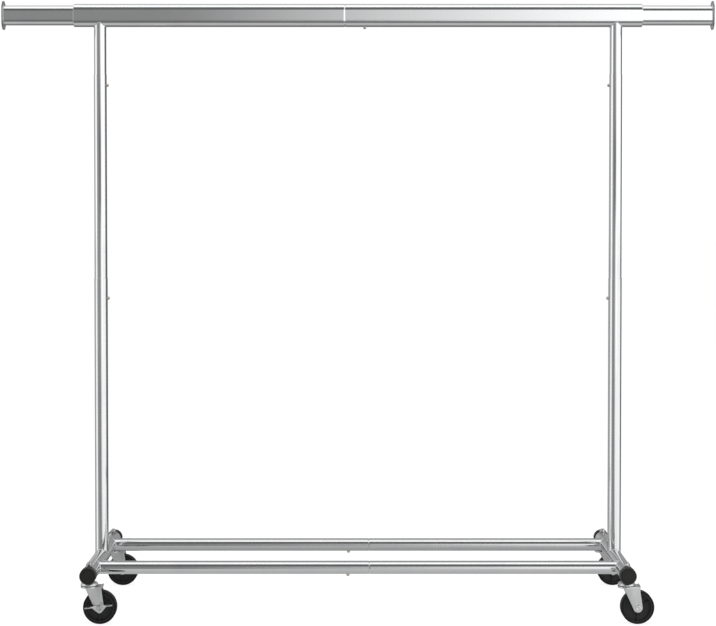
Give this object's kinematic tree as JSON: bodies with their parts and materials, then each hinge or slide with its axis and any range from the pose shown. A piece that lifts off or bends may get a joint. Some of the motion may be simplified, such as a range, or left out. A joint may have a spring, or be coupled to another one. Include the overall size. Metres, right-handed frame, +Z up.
{
  "type": "rolling clothes rack",
  "caption": "Chrome rolling garment rack: H-shaped base on swivel casters, snap-together uprights and a tall oval hanging bar with pull-out end extensions.",
  "frame": {"origin": "on the floor under the middle of the rack", "axes": "+X along the hanging bar to the right, +Y from front to back, +Z up"},
  "size_m": [1.77, 0.465, 1.5094],
  "materials": {
    "chrome_tube": "polished chrome plate",
    "black_plastic_cap": "fine moulded texture",
    "zinc_hardware": "zinc plated, bright",
    "zinc_pressing": "zinc plated, satin",
    "bearing_steel": "polished",
    "spring_steel": "tempered",
    "button_steel": "nickel plated",
    "glide_plastic": "plain",
    "wheel_plastic": "moulded, slight sheen",
    "tread_rubber": "satin"
  },
  "bodies": {
    "rack": {"side_tube_left": "chrome_tube", "front_rail_left": "chrome_tube", "rear_rail_left": "chrome_tube", "lower_upright_left": "chrome_tube", "middle_upright_left": "chrome_tube", "top_stub_left": "chrome_tube", "hanging_bar_left": "chrome_tube", "side_tube_right": "chrome_tube", "front_rail_right": "chrome_tube", "rear_rail_right": "chrome_tube", "lower_upright_right": "chrome_tube", "middle_upright_right": "chrome_tube", "top_stub_right": "chrome_tube", "hanging_bar_right": "chrome_tube", "end_cap_front_left": "black_plastic_cap", "end_cap_front_right": "black_plastic_cap", "end_cap_rear_left": "black_plastic_cap", "end_cap_rear_right": "black_plastic_cap", "foot_inserts": "zinc_hardware", "foot_bolts": "zinc_hardware", "caster_stems": "zinc_hardware", "caster_nuts": "zinc_hardware", "caster_cups": "zinc_pressing", "bearing_balls": "bearing_steel", "upright_springs": "spring_steel", "rail_springs": "spring_steel", "bar_spring": "spring_steel"},
    "extension_left": {"extension_tube_left": "chrome_tube", "end_plate_left": "chrome_tube", "extension_glides_left": "glide_plastic"},
    "button_lower_left": {"snap_button_lower_left": "button_steel"},
    "button_upper_left": {"snap_button_upper_left": "button_steel"},
    "extension_right": {"extension_tube_right": "chrome_tube", "end_plate_right": "chrome_tube", "extension_glides_right": "glide_plastic"},
    "button_lower_right": {"snap_button_lower_right": "button_steel"},
    "button_upper_right": {"snap_button_upper_right": "button_steel"},
    "button_front_rail": {"snap_button_front_rail": "button_steel"},
    "button_rear_rail": {"snap_button_rear_rail": "button_steel"},
    "button_bar": {"snap_button_bar": "button_steel"},
    "caster_front_left": {"caster_fork_front_left": "zinc_pressing", "caster_axle_front_left": "zinc_hardware"},
    "wheel_front_left": {"wheel_front_left": "wheel_plastic", "tread_front_left": "tread_rubber"},
    "brake_front_left": {"brake_lever_front_left": "zinc_pressing"},
    "caster_front_right": {"caster_fork_front_right": "zinc_pressing", "caster_axle_front_right": "zinc_hardware"},
    "wheel_front_right": {"wheel_front_right": "wheel_plastic", "tread_front_right": "tread_rubber"},
    "caster_rear_left": {"caster_fork_rear_left": "zinc_pressing", "caster_axle_rear_left": "zinc_hardware"},
    "wheel_rear_left": {"wheel_rear_left": "wheel_plastic", "tread_rear_left": "tread_rubber"},
    "caster_rear_right": {"caster_fork_rear_right": "zinc_pressing", "caster_axle_rear_right": "zinc_hardware"},
    "wheel_rear_right": {"wheel_rear_right": "wheel_plastic", "tread_rear_right": "tread_rubber"},
    "brake_rear_right": {"brake_lever_rear_right": "zinc_pressing"}
  },
  "joints": [
    {"name": "extension_left_slide", "type": "slide", "parent": "rack", "child": "extension_left", "axis": [-1, 0, 0], "range_m": [-0.1725, 0]},
    {"name": "button_lower_left_press", "type": "slide", "parent": "rack", "child": "button_lower_left", "axis": [-1, 0, 0], "range_m": [0, 0.0062], "stiffness_N_per_m": 1500, "springref_m": -0.002, "deforming": ["upright_springs"]},
    {"name": "button_upper_left_press", "type": "slide", "parent": "rack", "child": "button_upper_left", "axis": [-1, 0, 0], "range_m": [0, 0.0062], "stiffness_N_per_m": 1500, "springref_m": -0.002, "deforming": ["upright_springs"]},
    {"name": "extension_right_slide", "type": "slide", "parent": "rack", "child": "extension_right", "axis": [1, 0, 0], "range_m": [-0.1725, 0]},
    {"name": "button_lower_right_press", "type": "slide", "parent": "rack", "child": "button_lower_right", "axis": [1, 0, 0], "range_m": [0, 0.0062], "stiffness_N_per_m": 1500, "springref_m": -0.002, "deforming": ["upright_springs"]},
    {"name": "button_upper_right_press", "type": "slide", "parent": "rack", "child": "button_upper_right", "axis": [1, 0, 0], "range_m": [0, 0.0062], "stiffness_N_per_m": 1500, "springref_m": -0.002, "deforming": ["upright_springs"]},
    {"name": "button_front_rail_press", "type": "slide", "parent": "rack", "child": "button_front_rail", "axis": [0, 0, 1], "range_m": [0, 0.0062], "stiffness_N_per_m": 1500, "springref_m": -0.002, "deforming": ["rail_springs"]},
    {"name": "button_rear_rail_press", "type": "slide", "parent": "rack", "child": "button_rear_rail", "axis": [0, 0, 1], "range_m": [0, 0.0062], "stiffness_N_per_m": 1500, "springref_m": -0.002, "deforming": ["rail_springs"]},
    {"name": "button_bar_press", "type": "slide", "parent": "rack", "child": "button_bar", "axis": [0, 0, 1], "range_m": [0, 0.0062], "stiffness_N_per_m": 1500, "springref_m": -0.002, "deforming": ["bar_spring"]},
    {"name": "caster_front_left_swivel", "type": "hinge", "parent": "rack", "child": "caster_front_left", "pos_m": [-0.6435, -0.2, 0.0868], "axis": [0, 0, 1], "continuous": true},
    {"name": "wheel_front_left_roll", "type": "hinge", "parent": "caster_front_left", "child": "wheel_front_left", "pos_m": [-0.618, -0.2, 0.04], "axis": [0, 1, 0], "continuous": true},
    {"name": "brake_front_left_rock", "type": "hinge", "parent": "caster_front_left", "child": "brake_front_left", "pos_m": [-0.618, -0.2, 0.04], "axis": [0, 1, 0], "range_deg": [0, 20]},
    {"name": "caster_front_right_swivel", "type": "hinge", "parent": "rack", "child": "caster_front_right", "pos_m": [0.6435, -0.2, 0.0868], "axis": [0, 0, 1], "continuous": true},
    {"name": "wheel_front_right_roll", "type": "hinge", "parent": "caster_front_right", "child": "wheel_front_right", "pos_m": [0.669, -0.2, 0.04], "axis": [0, 1, 0], "continuous": true},
    {"name": "caster_rear_left_swivel", "type": "hinge", "parent": "rack", "child": "caster_rear_left", "pos_m": [-0.6435, 0.2, 0.0868], "axis": [0, 0, 1], "continuous": true},
    {"name": "wheel_rear_left_roll", "type": "hinge", "parent": "caster_rear_left", "child": "wheel_rear_left", "pos_m": [-0.618, 0.2, 0.04], "axis": [0, 1, 0], "continuous": true},
    {"name": "caster_rear_right_swivel", "type": "hinge", "parent": "rack", "child": "caster_rear_right", "pos_m": [0.6435, 0.2, 0.0868], "axis": [0, 0, 1], "continuous": true},
    {"name": "wheel_rear_right_roll", "type": "hinge", "parent": "caster_rear_right", "child": "wheel_rear_right", "pos_m": [0.669, 0.2, 0.04], "axis": [0, 1, 0], "continuous": true},
    {"name": "brake_rear_right_rock", "type": "hinge", "parent": "caster_rear_right", "child": "brake_rear_right", "pos_m": [0.669, 0.2, 0.04], "axis": [0, 1, 0], "range_deg": [0, 20]}
  ]
}
